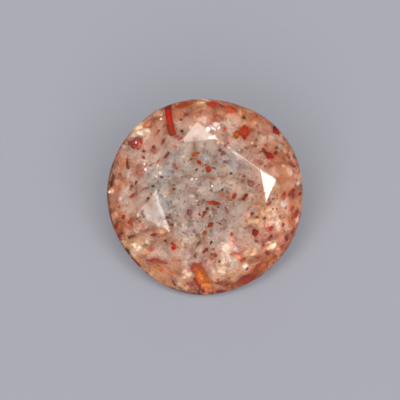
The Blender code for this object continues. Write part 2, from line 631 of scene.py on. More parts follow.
platesTop = (
    plate(211.5, 104.5, 0.32, 0.24, 20, "rust ember", 0.25),
    plate(222, 106, 0.3, 0.14, -15, "brown", 0.3),
    plate(230, 108, 0.34, 0.2, -30, "brick amber", 0.3),
    plate(185, 104.5, 0.7, 0.26, 16, "brick copper amber", 0.12, flush=True),
    plate(199, 106, 0.34, 0.2, 5, "tan", 0.12, flush=True),
    plate(187, 114.5, 0.24, 0.12, 25, "rust"),
    plate(181, 120, 0.12, 0.1, 0, "umber", 0.2),
    plate(182, 131, 0.13, 0.1, 40, "black", 0.2),
    plate(180, 138.5, 0.24, 0.16, 20, "rose"),
    plate(178, 136.5, 0.1, 0.1, 0, "blood", 0.2),
    plate(183, 141, 0.1, 0.08, 30, "blood", 0.2),
    plate(217, 119, 0.3, 0.24, -20, "brown copper", 0.5),
    plate(209, 126, 0.18, 0.13, 10, "rust"),
    plate(196, 154, 0.34, 0.17, 15, "copper amber", 0.4),
    plate(199, 162.5, 0.2, 0.14, -40, "rust", 0.3),
    plate(191, 159, 0.11, 0.09, 0, "umber", 0.2),
    plate(206, 155, 0.62, 0.15, -68, "ash", 0.9, outline="bar"),
    plate(220, 150, 0.18, 0.12, 60, "plum", 0.3),
    plate(224, 153, 0.2, 0.13, -40, "plum", 0.3),
    plate(222.5, 154.5, 0.16, 0.1, 10, "blood", 0.4),
    plate(228, 143, 0.15, 0.12, 0, "rose"),
    plate(225, 146, 0.12, 0.1, 30, "rust"),
    plate(226, 162, 0.16, 0.1, 0, "plum"),
)
platesUpperRight = (
    plate(244.5, 132.5, 0.74, 0.46, 84, "scarlet brick brick scarlet", 0.12, outline="rhomb", flush=True),
    plate(249, 129.5, 0.36, 0.26, 5, "brick amber", 0.1, outline="rhomb", flush=True),
    plate(236.8, 134.5, 0.4, 0.26, 75, "copper amber rust", 0.12, outline="hexagon", flush=True),
    plate(241, 128, 0.16, 0.12, -30, "brick", 0.35),
    plate(244, 117.5, 0.15, 0.15, 0, "umber", 0.2),
    plate(263, 130, 0.2, 0.15, 25, "rust brick", 0.3),
    plate(258, 125, 0.1, 0.08, 0, "brown", 0.2),
    plate(259, 133, 0.1, 0.08, 0, "brown", 0.2),
    plate(256, 140, 0.11, 0.08, 30, "umber", 0.2),
    plate(268, 122, 0.26, 0.09, -35, "copper", outline="lens"),
    plate(276, 131, 0.46, 0.28, -58, "blood scarlet", 0.2, outline="rhomb"),
    plate(275, 127, 0.14, 0.1, -40, "black", 0.12),
    plate(284, 138, 0.18, 0.1, -50, "plum"),
    plate(276, 148, 0.13, 0.1, 0, "umber", 0.2),
    plate(266, 144, 0.3, 0.1, 75, "copper", outline="lens"),
    plate(264.5, 151, 0.3, 0.11, -65, "rust blood", 0.13, outline="bar", flush=True),
    plate(269, 155.5, 0.36, 0.28, -30, "blood scarlet", 0.14, flush=True),
    plate(275.5, 153, 0.24, 0.13, 40, "rust", 0.13, flush=True),
    plate(248, 148, 0.38, 0.13, 10, "plum brown", 0.6),
    plate(255, 146, 0.16, 0.11, 0, "rust"),
    plate(288, 156, 0.24, 0.14, -60, "copper"),
    plate(294, 157, 0.22, 0.11, -65, "brown", 0.15),
)
platesLeft = (
    plate(113, 178, 0.3, 0.12, 80, "brown umber", 0.15, outline="lens"),
    plate(111.5, 184, 0.26, 0.14, 85, "brown", 0.15),
    plate(120, 186, 0.44, 0.18, 70, "copper brick", 0.4),
    plate(127.5, 165, 0.3, 0.09, -80, "umber", 0.2, outline="bar"),
    plate(162, 177, 0.11, 0.09, 0, "black plum", 0.15),
    plate(150, 165.5, 0.12, 0.09, 30, "rust"),
    plate(139, 175, 0.12, 0.09, 0, "rust"),
    plate(130, 178.5, 0.16, 0.1, 0, "copper"),
    plate(136, 182.5, 0.18, 0.14, 70, "plum"),
    plate(131.5, 186, 0.14, 0.11, 0, "olive", 0.2),
    plate(153.5, 186, 0.13, 0.11, 20, "umber", 0.2),
    plate(148, 198, 0.13, 0.1, 0, "umber", 0.2),
    plate(133.5, 195, 0.44, 0.16, 28, "copper rust", 0.3, outline="lens"),
    plate(144.5, 188.5, 0.46, 0.12, 15, "copper", 0.7, outline="lens"),
    plate(123.5, 216.5, 0.19, 0.16, 0, "rust", 0.2),
    plate(131, 221.5, 0.34, 0.24, 60, "brick rust", 0.3),
    plate(116, 226, 0.3, 0.15, 60, "brown copper", 0.2),
    plate(143, 215, 0.24, 0.09, -50, "umber", 0.15, outline="bar"),
    plate(142, 211, 0.1, 0.08, 0, "brown", 0.15),
    plate(137, 219, 0.1, 0.08, 0, "umber", 0.15),
    plate(140, 221.5, 0.12, 0.08, 30, "umber", 0.15),
    plate(163, 219, 0.12, 0.08, 30, "copper"),
    plate(168, 217, 0.24, 0.13, 15, "plum"),
    plate(172, 225, 0.13, 0.09, 0, "umber", 0.2),
    plate(120, 235.5, 0.34, 0.16, 50, "rust brown", 0.2),
    plate(129.5, 237.5, 0.13, 0.11, 0, "umber", 0.2),
)
platesCentre = (
    plate(208.5, 169, 0.26, 0.22, 60, "rust copper", 0.2),
    plate(206, 165, 0.11, 0.08, 0, "rust", 0.2),
    plate(196.5, 169.5, 0.09, 0.09, 0, "black", 0.12),
    plate(175.5, 166.5, 0.27, 0.09, -60, "copper", 0.3, outline="bar"),
    plate(172, 172, 0.12, 0.1, 0, "umber", 0.4),
    plate(174, 185, 0.1, 0.09, 0, "umber", 0.2),
    plate(174, 189, 0.13, 0.11, 0, "brown", 0.15),
    plate(203.5, 182, 0.24, 0.15, 20, "ash", 0.9),
    plate(211, 190, 0.14, 0.11, 30, "olive", 0.5),
    plate(214, 203, 0.54, 0.19, -8, "copper rust", 0.25, outline="lens"),
    plate(209.5, 202.5, 0.16, 0.12, 20, "brick", 0.2),
    plate(207.5, 208.5, 0.12, 0.11, 0, "umber", 0.2),
    plate(204, 214, 0.28, 0.08, 58, "copper", 0.4, outline="bar"),
    plate(218, 207, 0.1, 0.08, 0, "brown", 0.2),
    plate(190, 212, 0.27, 0.25, 20, "plum rose", 0.5),
    plate(188.5, 210.5, 0.13, 0.1, 20, "blood", 0.4),
    plate(222, 195, 0.2, 0.13, 80, "copper", 0.4),
    plate(234, 196, 0.22, 0.12, 60, "rust blood", 0.2),
    plate(231, 199, 0.2, 0.14, 20, "amber", 0.6),
    plate(226.5, 209.5, 0.32, 0.08, -66, "copper", 0.5, outline="lens"),
    plate(231, 173.5, 0.1, 0.09, 0, "black", 0.15),
    plate(225, 162, 0.15, 0.1, 0, "plum", 0.4),
    plate(222, 166, 0.24, 0.14, 15, "tan", 0.6),
    plate(210, 225, 0.24, 0.15, 35, "brown rust", 0.2),
    plate(173, 207, 0.2, 0.11, 10, "plum", 0.6),
    plate(171, 225, 0.12, 0.09, 0, "plum", 0.4),
    plate(180, 224, 0.13, 0.1, 40, "plum", 0.5),
    plate(184, 231, 0.28, 0.16, 10, "plum", 0.9),
    plate(194, 231, 0.13, 0.18, 10, "plum", 0.6),
)
platesRight = (
    plate(261, 162, 0.28, 0.22, 60, "copper brick", 0.35),
    plate(291, 164.5, 0.34, 0.16, -35, "copper rust", 0.25),
    plate(251, 184, 0.28, 0.22, -40, "brown copper", 0.45),
    plate(242, 181, 0.24, 0.15, 10, "plum brown", 0.5),
    plate(244, 176, 0.12, 0.09, 0, "rust"),
    plate(245, 197, 0.26, 0.12, 58, "rust blood", 0.2, outline="bar"),
    plate(269, 203.5, 0.22, 0.12, 45, "rust plum", 0.15, outline="bar"),
    plate(257, 217, 0.12, 0.1, 0, "brown", 0.15),
    plate(264.5, 218, 0.12, 0.1, 30, "umber", 0.15),
    plate(280, 216.5, 0.1, 0.09, 0, "brown", 0.15),
    plate(277, 209, 0.11, 0.08, 0, "brown", 0.15),
    plate(273, 209, 0.1, 0.08, 0, "rust", 0.15),
    plate(286, 208, 0.12, 0.09, 60, "brown", 0.15),
    plate(273, 199, 0.1, 0.08, 0, "umber", 0.2),
    plate(277, 196, 0.12, 0.08, 30, "copper", 0.2),
    plate(284, 194, 0.2, 0.12, 20, "brick", 0.3),
    plate(283, 199, 0.2, 0.15, -30, "rose rust", 0.3),
    plate(292.5, 193, 0.46, 0.21, 80, "copper rust", 0.3),
    plate(300, 194, 0.2, 0.13, 85, "rust", 0.15),
    plate(301, 186, 0.13, 0.1, 90, "umber", 0.1),
    plate(296, 185, 0.13, 0.1, 0, "olive", 0.3),
    plate(291, 209, 0.24, 0.19, 30, "ember brick", 0.25),
    plate(296, 214, 0.38, 0.26, 75, "brick rust", 0.25),
    plate(283, 225, 0.17, 0.12, 30, "rust plum", 0.2),
    plate(269, 229, 0.34, 0.2, 10, "ember brick", 0.25),
    plate(252, 214, 0.16, 0.12, 40, "plum"),
    plate(287, 238, 0.3, 0.13, -65, "rust blood", 0.2),
    plate(293, 230, 0.4, 0.16, 75, "rust brick", 0.2),
    plate(282, 247, 0.26, 0.11, 75, "rust", 0.2),
)
platesLowerLeft = (
    plate(126.5, 252, 0.3, 0.15, -50, "brown umber", 0.15),
    plate(135, 262, 0.48, 0.15, -50, "rust blood", 0.12, outline="bar"),
    plate(147, 273.5, 0.22, 0.1, -35, "umber", 0.1, outline="lens"),
    plate(154, 234.5, 0.34, 0.14, 18, "brown rust", 0.2, outline="lens"),
    plate(165.5, 241, 0.11, 0.09, 60, "umber", 0.12),
    plate(174, 247.5, 0.28, 0.15, 70, "scarlet ember", 0.2),
    plate(172, 243.5, 0.12, 0.09, 0, "umber", 0.15),
    plate(154, 260, 0.62, 0.15, 8, "copper rust copper", 0.16, outline="lens", flush=True),
    plate(162.5, 262, 0.5, 0.12, -10, "rust copper", 0.14, outline="lens", flush=True),
    plate(161.5, 270, 0.18, 0.09, 35, "rust", 0.2),
    plate(152.5, 249, 0.2, 0.1, 40, "brick", 0.3),
    plate(179.5, 260.5, 0.16, 0.12, 0, "umber", 0.3),
    plate(174, 283, 0.28, 0.09, -70, "brown", 0.12, outline="bar"),
    plate(180, 288, 0.18, 0.1, -20, "umber", 0.1),
    plate(190, 284, 0.26, 0.17, -20, "rose rust", 0.3),
    plate(163.5, 281, 0.2, 0.12, -20, "amber olive", 0.2),
    plate(181.5, 240.5, 0.12, 0.09, 0, "umber", 0.3),
    plate(185, 247.5, 0.16, 0.06, 0, "olive", 0.3, outline="lens"),
)
platesBottom = (
    plate(200.3, 273, 0.92, 0.46, -70, "brick amber amber orange", 0.14, outline="bar", flush=True),
    plate(206.3, 288, 0.52, 0.44, -72, "orange orange flame", 0.2, outline="bar", flush=True),
    plate(199, 285, 0.76, 0.13, -62, "scarlet blood", 0.1, outline="bar", flush=True),
    plate(206, 291, 0.24, 0.14, -20, "salmon", 0.15),
    plate(194, 264, 0.2, 0.11, 10, "rust", 0.25),
    plate(197.5, 245, 0.36, 0.12, 60, "brown umber", 0.25, outline="lens"),
    plate(206, 249.5, 0.2, 0.12, 40, "plum blood", 0.25),
    plate(203.5, 252.5, 0.1, 0.08, 90, "black", 0.15),
    plate(206, 244, 0.2, 0.15, 40, "amber olive", 0.6),
    plate(194.5, 256.5, 0.12, 0.08, -50, "umber", 0.2),
    plate(196.5, 253.5, 0.12, 0.09, 0, "copper", 0.3),
    plate(211, 242.5, 0.14, 0.1, 60, "umber black", 0.15),
    plate(204.5, 232.5, 0.2, 0.16, 40, "amber brown", 0.3),
    plate(197, 235.5, 0.16, 0.09, 40, "olive", 0.4),
    plate(213, 256, 0.32, 0.24, 10, "copper plum", 0.5),
    plate(219.5, 261.5, 0.12, 0.09, 30, "umber", 0.2),
    plate(229.5, 267, 0.26, 0.1, -48, "blood", 0.15, outline="bar"),
    plate(226.5, 271.5, 0.15, 0.08, 35, "brown", 0.15),
    plate(229.5, 278.5, 0.11, 0.08, 0, "umber", 0.2),
    plate(216, 242.5, 0.22, 0.09, -10, "umber", 0.5, outline="lens"),
    plate(213.5, 249.5, 0.16, 0.07, -10, "umber", 0.3, outline="lens"),
    plate(231.5, 234, 0.15, 0.11, 60, "rust", 0.4),
    plate(255, 232.5, 0.3, 0.26, -60, "blood rust", 0.2),
    plate(256.5, 241, 0.14, 0.09, 0, "umber", 0.2),
    plate(271.5, 236, 0.1, 0.11, 0, "black", 0.08),
    plate(263.5, 245, 0.15, 0.1, -50, "rust", 0.2),
    plate(267, 253, 0.28, 0.12, -68, "rust blood", 0.2, outline="lens"),
    plate(252.5, 252.5, 0.22, 0.08, -80, "brown", 0.3, outline="lens"),
    plate(258, 257, 0.11, 0.09, 0, "rust", 0.2),
    plate(269, 239, 0.16, 0.14, 30, "rust", 0.3),
    plate(242, 260, 0.2, 0.16, 20, "brick rust", 0.25),
    plate(235.5, 255, 0.32, 0.15, -10, "brick rose", 0.3),
    plate(247, 269, 0.14, 0.1, 20, "umber", 0.2),
    plate(253.5, 276.5, 0.34, 0.2, 15, "blood rust", 0.15),
    plate(245, 280, 1, 0.46, 27, "bronze rust rust", 0.1, outline="lens", flush=True),
    plate(259.5, 268, 0.85, 0.44, 46, "amber copper rust", 0.12, outline="lens", flush=True),
    plate(256, 268, 0.5, 0.22, 20, "brick copper", 0.4),
    plate(260, 271, 0.5, 0.2, 35, "amber brown", 0.3),
    plate(232, 285, 0.5, 0.2, 12, "brown amber", 0.3),
    plate(221, 291, 0.56, 0.14, 5, "rust brown", 0.15),
    plate(219, 283, 0.4, 0.13, -5, "brown", 0.3),
    plate(274, 257, 0.34, 0.15, 10, "amber rust", 0.15),
)


# Native copper, grown in the feldspar as thin flat crystals: shiny where it faces the light, and
# mottled, because the thinnest spots let more light through

native = {
    "mottleSize": 0.11 * mm,
    "mottleShade": (0.72, 1.18),
    "roughness": 0.35,
    "specular": 0.03,      # sealed in feldspar it mirrors far less than in air
    "letsThrough": 0.15,
}


def copperMaterial():
    material, tree = newMaterial("nativeCopper")
    place = addNode(tree, "ShaderNodeTexCoord")
    tone = addNode(tree, "ShaderNodeAttribute", {"attribute_name": "tone"})
    mottle = addNode(tree, "ShaderNodeTexNoise", {"Scale": 1 / native["mottleSize"], "Detail": 2.0},
                     {"Vector": place.outputs["Object"]})
    least, most = native["mottleShade"]
    share = addNode(tree, "ShaderNodeMapRange", {
        "From Min": 0.3, "From Max": 0.7, "To Min": least, "To Max": most,
    }, {"Value": mottle.outputs[0]})
    mixed = addNode(tree, "ShaderNodeVectorMath", {"operation": "SCALE"},
                    {"Vector": tone.outputs["Color"], "Scale": share.outputs[0]})
    shader = addNode(tree, "ShaderNodeBsdfPrincipled", {
        "Roughness": native["roughness"],
        "Specular IOR Level": native["specular"],
        "Transmission Weight": native["letsThrough"],
    }, {"Base Color": mixed.outputs[0]})
    addNode(tree, "ShaderNodeOutputMaterial", links={"Surface": shader.outputs[0]})
    return material


# Films: healed cracks and thin sheets of fine copper, both made of tiny mirrors, so a film is soft-edged,
# broken, and brightest where it faces the light. The same material carries the pale films that paint
# flashes of light

film = {
    "grainSize": 0.2 * mm,
    "grainCover": (0.3, 1.2),
    "relief": 0.02 * mm,
    "roughness": 0.45,
    "metallic": 0.65,
    "lean": 0.11,          # sine of how far it leans off the line of sight, to mirror the ring of light
    "wave": 0.12,          # as a share of its shorter side
    "unevenEdge": 0.5,
    "edgeFineness": 1.4,
    "steps": 10,           # squares along each side of its grid
}


def filmMaterial():
    material, tree = newMaterial("crackFilmAndPaintedFlash")
    place = addNode(tree, "ShaderNodeTexCoord")
    tone = addNode(tree, "ShaderNodeAttribute", {"attribute_name": "tone"})
    grain = addNode(tree, "ShaderNodeTexNoise", {"Scale": 1 / film["grainSize"], "Detail": 2.0},
                    {"Vector": place.outputs["Object"]})
    least, most = film["grainCover"]
    broken = addNode(tree, "ShaderNodeMapRange", {
        "From Min": 0.35, "From Max": 0.65, "To Min": least, "To Max": most,
    }, {"Value": grain.outputs[0]})
    cover = addNode(tree, "ShaderNodeMath", {"operation": "MULTIPLY", "use_clamp": True},
                    {0: broken.outputs[0], 1: tone.outputs["Alpha"]})
    bump = addNode(tree, "ShaderNodeBump", {"Strength": 0.5, "Distance": film["relief"]},
                   {"Height": grain.outputs[0]})
    shader = addNode(tree, "ShaderNodeBsdfPrincipled", {
        "Roughness": film["roughness"], "Metallic": film["metallic"],
    }, {
        "Base Color": tone.outputs["Color"], "Alpha": cover.outputs[0], "Normal": bump.outputs[0],
    })
    addNode(tree, "ShaderNodeOutputMaterial", links={"Surface": shader.outputs[0]})
    return material


copper = copperMaterial()
crackFilmAndPaintedFlash = filmMaterial()


def finishSealed(whole, name, material, castsShade=True):
    # a film and haze only scatter light onwards, so they cast no shade
    piece = finishPiece(whole, name, [material])
    piece.visible_diffuse = castsShade
    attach(piece, "root")
    print(name, len(piece.data.polygons), "faces")


def addFilm(whole, at, size, turn, tone, cover, depth, flush=False, steps=film["steps"], pale=0.0):
    # one slightly wavy film that shows at this pixel
    middle, inside, right, up = layFlat(at, depth, turn, flush)
    lean = 0.0 if flush else film["lean"]
    way = random.uniform(0, math.tau)
    right += inside * (lean * math.cos(way))
    up += inside * (lean * math.sin(way))
    fine = film["edgeFineness"]
    shape = bmesh.new()
    bmesh.ops.create_grid(shape, x_segments=steps, y_segments=steps, size=1)
    layer = shape.verts.layers.float_color.new("tone")
    for corner in shape.verts:
        x, y = corner.co.x, corner.co.y
        uneven = 1 + film["unevenEdge"] * noise.noise(Vector((x * fine, y * fine, at[0] + at[1])))
        fade = max(0.0, 1 - (x * x + y * y) * uneven)
        colour = toneOf(tone, (x + 1) / 2).lerp(toneOf("peach"), pale)
        corner[layer] = (colour.x, colour.y, colour.z, cover * fade * fade * (3 - 2 * fade))
        wave = noise.noise(Vector((x, y, at[0]))) * film["wave"]
        corner.co = middle + right * (x * size[0] * mm / 2) + up * (y * size[1] * mm / 2)
        corner.co += inside * wave * min(size) * mm
    cutToStone(shape)
    pour(shape, whole)


# Halos: finer copper round each bigger platelet, which glows round it, with sizes in millimetres

halo = {
    "leastPlate": 0.18,
    "reach": 0.22,
    "below": 0.04,
    "pale": 0.2,
    "cover": 0.55,
    "steps": 6,
}


def makeSeenPlates():
    groups = {
        "platesUpperLeft": platesUpperLeft,
        "platesTop": platesTop,
        "platesUpperRight": platesUpperRight,
        "platesLeft": platesLeft,
        "platesCentre": platesCentre,
        "platesRight": platesRight,
        "platesLowerLeft": platesLowerLeft,
        "platesBottom": platesBottom,
    }
    halos = bmesh.new()
    for name, rows in groups.items():
        whole = bmesh.new()
        for row in rows:
            anyDepth = random.uniform(*platelet["anyDepth"])
            depth = anyDepth if row["depth"] is None else row["depth"]
            seenPlate(whole, **{**row, "depth": depth})
            if max(row["size"]) < halo["leastPlate"]:
                continue
            size = [edge + halo["reach"] for edge in row["size"]]
            addFilm(
                halos, row["at"], size, row["turn"], row["tone"].split()[0], halo["cover"],
                depth + halo["below"], row.get("flush", False), halo["steps"], halo["pale"],
            )
        finishSealed(whole, name, copper)
    finishSealed(halos, "halos", crackFilmAndPaintedFlash, castsShade=False)


makeSeenPlates()


# Flecks: platelets all through the crystal, most of them flat in one of two of its growth planes. Sizes
# are in millimetres, and each kind lies at least inset inside the facets and between the two depths of
# under below them

growthPlanes = (Vector((0.25, 0.35, 0.9)).normalized(), Vector((0.9, -0.25, 0.35)).normalized())
flecks = {
    "deepCopper": {
        "count": 110, "size": (0.16, 0.5), "spread": 0.3, "inset": 0.3 * mm, "under": (1.0 * mm, 6 * mm),
        "tones": ("rust", "copper", "bronze", "brown", "brick"),
    },
    "copperFlecks": {
        "count": 260, "size": (0.08, 0.22), "spread": 0.3, "inset": 0.1 * mm, "under": (0.5 * mm, 6 * mm),
        "tones": ("copper", "rust", "blood", "brown", "blood", "bronze", "plum", "umber"),
    },
    "nearSpecks": {
        "count": 900, "size": (0.045, 0.1), "spread": 0.6, "inset": 0.05 * mm,
        "under": (0.05 * mm, 0.8 * mm),
        "tones": ("rust", "brown", "umber", "blood", "black", "olive", "plum", "copper"),
    },
    "copperSpecks": {
        "count": 3200, "size": (0.032, 0.085), "spread": 0.6, "inset": 0.06 * mm,
        "under": (0.06 * mm, 6 * mm),
        "tones": ("rust", "brown", "umber", "blood", "black", "olive", "plum", "umber"),
    },
    "paleSpecks": {
        "count": 900, "size": (0.025, 0.07), "spread": 0.5, "inset": 0.06 * mm,
        "under": (0.06 * mm, 6 * mm),
        "tones": ("pearl", "pearl", "mist", "pink"),
    },
}
fleckShape = {
    "width": (0.35, 0.9),  # as a share of the length
    "shade": (0.85, 1.15),
    "plainUnder": 0.1 * mm,  # shorter ones are plain rhombs
    "uneven": 0.2,
    "batch": 60,           # flecks gathered before each pour, which saves time
}


def makeFlecks(name, kind):
    whole = bmesh.new()
    batch = bmesh.new()
    shortest, longest = kind["size"]
    for i in range(kind["count"]):
        middle = placeAnywhere(kind["inset"], kind["under"])
        out = random.choice(growthPlanes) + Vector(random.gauss(0, kind["spread"]) for _ in range(3))
        spin = Matrix.Rotation(random.uniform(0, math.tau), 3, "Z")
        turn = out.to_track_quat("Z", "Y").to_matrix() @ spin
        # long ones are rarer than short ones
        length = random.uniform(shortest, longest) ** 2 / longest * mm + shortest * mm / 2
        size = (length, length * random.uniform(*fleckShape["width"]))
        tone = random.choice(kind["tones"])
        shade = random.uniform(*fleckShape["shade"])
        outline = "rhomb"
        if length > fleckShape["plainUnder"]:
            outline = random.choice(("hexagon", "rhomb", "ragged"))
        addPlate(batch, middle, turn.col[0], turn.col[1], size, outline, tone, shade, fleckShape["uneven"])
        if i % fleckShape["batch"] == fleckShape["batch"] - 1 or i == kind["count"] - 1:
            pour(batch, whole)
            batch = bmesh.new()
    batch.free()
    finishSealed(whole, name, copper)


for fleckName, fleckKind in flecks.items():
    makeFlecks(fleckName, fleckKind)


# Haze: copper too fine to see one by one, in even layers along one growth plane of the crystal

haze = {
    "layers": 40,
    "layerSize": 8 * mm,
    "layerTilt": (0.25, 0.2),  # how far the layers' axis leans off the stone's, across and up the table
    "layerMiddle": 2 * mm,     # how deep under the table the layers are centred
    "clear": 0.05 * mm,        # clean skin left under the facets
    "crownClear": 0.17 * mm,   # and under those of the crown, where a layer would show as a line
    "cover": 0.062,
    "rimCover": 5.0,           # how much denser it is under the girdle than under the table
    "roughness": 0.6,
    "stretch": 4.0,            # its clumps and patches run this much longer out of the table
    "middleAt": (-0.25 * mm, 0.15 * mm),  # the milkiest place, off the stone's axis
    "patches": ("#B07C58", "#D4B094", "#C0C2C2", "#D8D0BC", "#DCD4CC", "#E8C6BC", "#F0E2D2"),
    "rimPatches": ("#983A14", "#D07038", "#E08C54", "#EC9C74", "#F6B68C", "#FFCCA4", "#FFE4C8"),
    "rimFrom": 1.5 * mm,
    "rimTo": 3.2 * mm,
    # its three patterns: how coarse, which seed, how much detail, whether it is stretched, which part of
    # the noise is used and what that becomes
    "patterns": {
        "clumps": (0.8 * mm, 0.0, 3.0, True, (0.38, 0.66), (0.4, 1.7)),
        "grains": (0.22 * mm, 1.0, 1.0, False, (0.42, 0.66), (0.65, 2.3)),
        "patch": (0.42 * mm, 3.0, 1.0, True, (0.32, 0.68), (0.0, 1.0)),
    },
}


def hazeMaterial():
    # copper too fine to resolve: milky under the table, tan to orange towards the girdle
    material, tree = newMaterial("copperHaze")
    place = addNode(tree, "ShaderNodeTexCoord")
    turn = stoneTurn.inverted()
    inStone = addNode(tree, "ShaderNodeMapping", {
        "Location": -(turn @ axisTop) - Vector((*haze["middleAt"], 0)),
        "Rotation": turn.to_euler(),
    }, {"Vector": place.outputs["Object"]})
    flat = addNode(tree, "ShaderNodeVectorMath", {"operation": "MULTIPLY", 1: (1, 1, 0)},
                   {0: inStone.outputs[0]})
    reach = addNode(tree, "ShaderNodeVectorMath", {"operation": "LENGTH"}, {0: flat.outputs[0]})
    rim = addNode(tree, "ShaderNodeMapRange", {"From Min": haze["rimFrom"], "From Max": haze["rimTo"]},
                  {"Value": reach.outputs["Value"]})
    tall = addNode(tree, "ShaderNodeVectorMath", {"operation": "MULTIPLY", 1: (1, 1, 1 / haze["stretch"])},
                   {0: inStone.outputs[0]})

    made = {}
    for name, (size, seed, detail, isTall, used, becomes) in haze["patterns"].items():
        cloud = addNode(tree, "ShaderNodeTexNoise", {
            "noise_dimensions": "4D", "W": seed, "Scale": 1 / size, "Detail": detail,
        }, {"Vector": (tall if isTall else inStone).outputs[0]})
        made[name] = addNode(tree, "ShaderNodeMapRange", {
            "From Min": used[0], "From Max": used[1], "To Min": becomes[0], "To Max": becomes[1],
        }, {"Value": cloud.outputs[0]}).outputs[0]

    rimCover = addNode(tree, "ShaderNodeMapRange", {"To Min": 1.0, "To Max": haze["rimCover"]},
                       {"Value": rim.outputs[0]})
    cover = addNode(tree, "ShaderNodeMath", {"operation": "MULTIPLY"},
                    {0: made["clumps"], 1: made["grains"]})
    cover = addNode(tree, "ShaderNodeMath", {"operation": "MULTIPLY"},
                    {0: cover.outputs[0], 1: rimCover.outputs[0]})
    thick = addNode(tree, "ShaderNodeMath", {"operation": "MULTIPLY", 1: haze["cover"]},
                    {0: cover.outputs[0]})
    # thick / (thick + 1), so that the densest clumps never cover everything
    ends = addNode(tree, "ShaderNodeMath", {"operation": "ADD", 1: 1.0}, {0: thick.outputs[0]})
    alpha = addNode(tree, "ShaderNodeMath", {"operation": "DIVIDE"},
                    {0: thick.outputs[0], 1: ends.outputs[0]})
    colours = []
    for stops in (haze["patches"], haze["rimPatches"]):
        ramp = addNode(tree, "ShaderNodeValToRGB", links={"Fac": made["patch"]})
        for i, stop in enumerate(stops):
            along = i / (len(stops) - 1)
            spot = ramp.color_ramp.elements[0] if i == 0 else ramp.color_ramp.elements.new(along)
            spot.position = along
            spot.color = toLinear(stop)
        colours.append(ramp.outputs["Color"])
    colour = addNode(tree, "ShaderNodeMix", {"data_type": "RGBA"},
                     {0: rim.outputs[0], 6: colours[0], 7: colours[1]})
    shader = addNode(tree, "ShaderNodeBsdfPrincipled", {"Roughness": haze["roughness"]},
                     {"Base Color": colour.outputs[2], "Alpha": alpha.outputs[0]})
    addNode(tree, "ShaderNodeOutputMaterial", links={"Surface": shader.outputs[0]})
    return material


def makeHaze():
    whole = bmesh.new()
    acrossLean, upLean = haze["layerTilt"]
    way = (outOfTable + across * acrossLean + upTable * upLean).normalized()
    turn = way.to_track_quat("Z", "Y").to_matrix()
    corners = [v.co.dot(way) for v in frame["nodes"]["sunstone"].data.vertices]
    low, high = min(corners), max(corners)
    middle = axisTop - outOfTable * haze["layerMiddle"]
    for i in range(haze["layers"]):
        height = low + (high - low) * (i + 0.5) / haze["layers"]
        shape = bmesh.new()
        bmesh.ops.create_grid(shape, x_segments=1, y_segments=1, size=haze["layerSize"])
        place = middle + way * (height - middle.dot(way))
        bmesh.ops.transform(shape, matrix=Matrix.Translation(place) @ turn.to_4x4(), verts=shape.verts)
        cutToStone(shape, haze["clear"], haze["crownClear"])
        pour(shape, whole)
    finishSealed(whole, "copperHaze", hazeMaterial(), castsShade=False)


makeHaze()


# Veils: healed cracks and patches of fine copper, each by the pixel at its middle, its width and height
# in millimetres, its turn in degrees, its tone, how much it covers and its depth in millimetres. The
# bright cream, peach, salmon and pearl ones are partly painted light: they are lit films, but their pale
# colour is set where the pavilion facets mirror flashes and small glints of light

def veil(x, y, width, height, turn, tone, cover, depth, flush=False):
    return {
        "at": (x, y), "size": (width, height), "turn": turn, "tone": tone, "cover": cover, "depth": depth,
        "flush": flush,
    }


